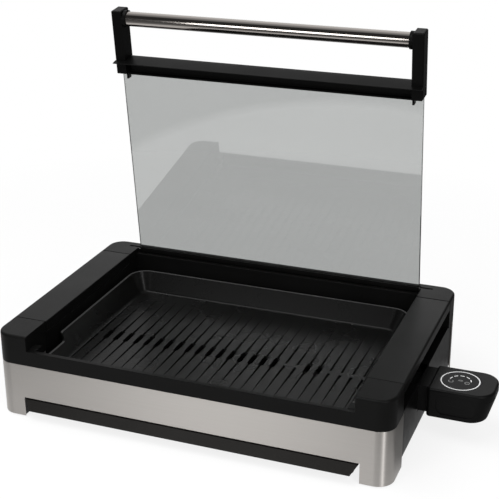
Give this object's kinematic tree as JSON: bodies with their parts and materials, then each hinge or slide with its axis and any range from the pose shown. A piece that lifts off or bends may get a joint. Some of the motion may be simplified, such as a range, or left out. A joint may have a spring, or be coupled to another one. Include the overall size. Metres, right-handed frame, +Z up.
{
  "type": "table grill",
  "caption": "Electric table grill: ribbed pan in a black frame with steel skins, hinged glass lid with a bar handle, slide-out drip tray and plug-on touch controller.",
  "frame": {"origin": "on the table, under the middle of the whole outline with the lid up", "axes": "+X to the right, towards the controller; +Y to the back, where the lid is hinged; +Z up"},
  "size_m": [0.58, 0.3286, 0.4535],
  "materials": {
    "brushed_steel": "brushed along the width, satin",
    "side_paint": "satin black",
    "rail_coating": "black coated",
    "frame_plastic": "fine grained, satin black",
    "bar_plastic": "smooth satin black",
    "block_plastic": "plain moulded",
    "feet_rubber": "matt",
    "screw_steel": "zinc plated",
    "sheet_steel": "sheet darkened by heat",
    "runner_steel": "galvanised",
    "tray_enamel": "black, satin",
    "plate_coating": "black non-stick coating, satin",
    "element_steel": "heat darkened",
    "clamp_aluminium": "as cast",
    "guard_steel": "sheet darkened by heat",
    "terminal_steel": "nickel plated",
    "lid_glass": "clear tempered glass with polished edges",
    "lid_plastic": "satin black",
    "tube_steel": "polished",
    "pin_steel": "ground",
    "controller_plastic": "satin black",
    "connector_plastic": "heat resistant moulding",
    "contact_brass": "bright",
    "probe_steel": "drawn tube, darkened by heat",
    "board_laminate": "solder mask",
    "touch_gloss": "high gloss black",
    "ring_white": "translucent white",
    "gland_plastic": "plain"
  },
  "bodies": {
    "base": {"front_panel": "brushed_steel", "rear_panel": "brushed_steel", "left_side_panel": "side_paint", "right_side_panel": "side_paint", "front_left_corner_block": "block_plastic", "front_right_corner_block": "block_plastic", "rear_left_corner_block": "block_plastic", "rear_right_corner_block": "block_plastic", "rubber_feet": "feet_rubber", "frame_screws": "screw_steel", "top_frame": "frame_plastic", "left_handle_bar": "bar_plastic", "right_handle_bar": "bar_plastic", "heat_reflector": "sheet_steel", "left_tray_runner": "runner_steel", "right_tray_runner": "runner_steel", "runner_screws": "screw_steel"},
    "tray": {"drip_tray": "tray_enamel"},
    "plate": {"grill_plate": "plate_coating", "heating_element": "element_steel", "element_clamps": "clamp_aluminium", "terminal_guard": "guard_steel", "terminal_pins": "terminal_steel"},
    "controller": {"controller_upper_shell": "controller_plastic", "controller_lower_shell": "controller_plastic", "connector_block": "connector_plastic", "contact_sockets": "contact_brass", "temperature_probe": "probe_steel", "control_board": "board_laminate", "touch_panel": "touch_gloss", "touch_ring": "ring_white", "cord_gland": "gland_plastic", "controller_screws": "screw_steel"},
    "lid": {"lid_glass": "lid_glass", "lid_strip": "lid_plastic", "left_lid_post": "lid_plastic", "right_lid_post": "lid_plastic", "handle_tube": "tube_steel", "post_screws": "screw_steel", "hinge_rail": "rail_coating", "hinge_pins": "pin_steel"}
  },
  "joints": [
    {"name": "lid_hinge", "type": "hinge", "parent": "base", "child": "lid", "pos_m": [-0.043, 0.15025, 0.1062], "axis": [1, 0, 0], "range_deg": [-11.5, 83.5]},
    {"name": "tray_slide", "type": "slide", "parent": "base", "child": "tray", "axis": [0, -1, 0], "range_m": [0, 0.25]},
    {"name": "plate_lift", "type": "slide", "parent": "base", "child": "plate", "axis": [0, 0, 1], "range_m": [0, 0.006]},
    {"name": "controller_slide", "type": "slide", "parent": "plate", "child": "controller", "axis": [1, 0, 0], "range_m": [0, 0.16]}
  ]
}
